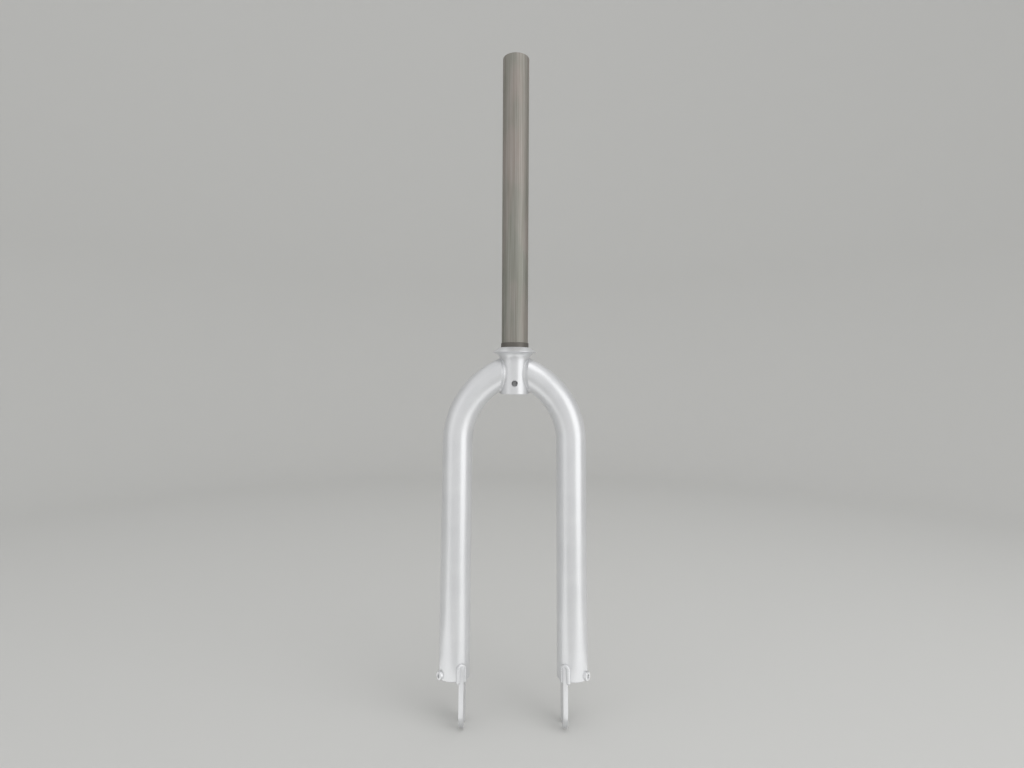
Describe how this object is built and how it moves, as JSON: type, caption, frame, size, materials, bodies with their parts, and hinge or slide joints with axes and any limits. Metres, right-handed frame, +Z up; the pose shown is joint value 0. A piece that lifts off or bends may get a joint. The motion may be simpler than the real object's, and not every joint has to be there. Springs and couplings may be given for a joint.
{
  "type": "bicycle fork",
  "caption": "Rigid steel bicycle fork with a plain threadless steerer, straight raked blades bent inwards to meet it, slotted dropouts and mudguard bosses.",
  "frame": {"origin": "centre of the steerer at the shoulder that the lower bearing race sits on", "axes": "+Z up the steerer; the front of the fork faces -Y; the left blade in the picture is at -X"},
  "size_m": [0.1572, 0.0735, 0.7035],
  "materials": {
    "bare_steel": "bare drawn and turned steel, satin, with a thin brown film",
    "silver_paint": "silver metallic lacquer, semi-gloss"
  },
  "bodies": {
    "root": {"steerer_tube": "bare_steel", "crown_race_ring": "silver_paint", "blade_left": "silver_paint", "blade_right": "silver_paint", "crown_weld_left": "silver_paint", "crown_weld_right": "silver_paint", "dropout_left": "silver_paint", "dropout_right": "silver_paint", "dropout_weld_left": "silver_paint", "dropout_weld_right": "silver_paint", "mudguard_boss_left": "silver_paint", "mudguard_boss_right": "silver_paint"}
  },
  "joints": []
}
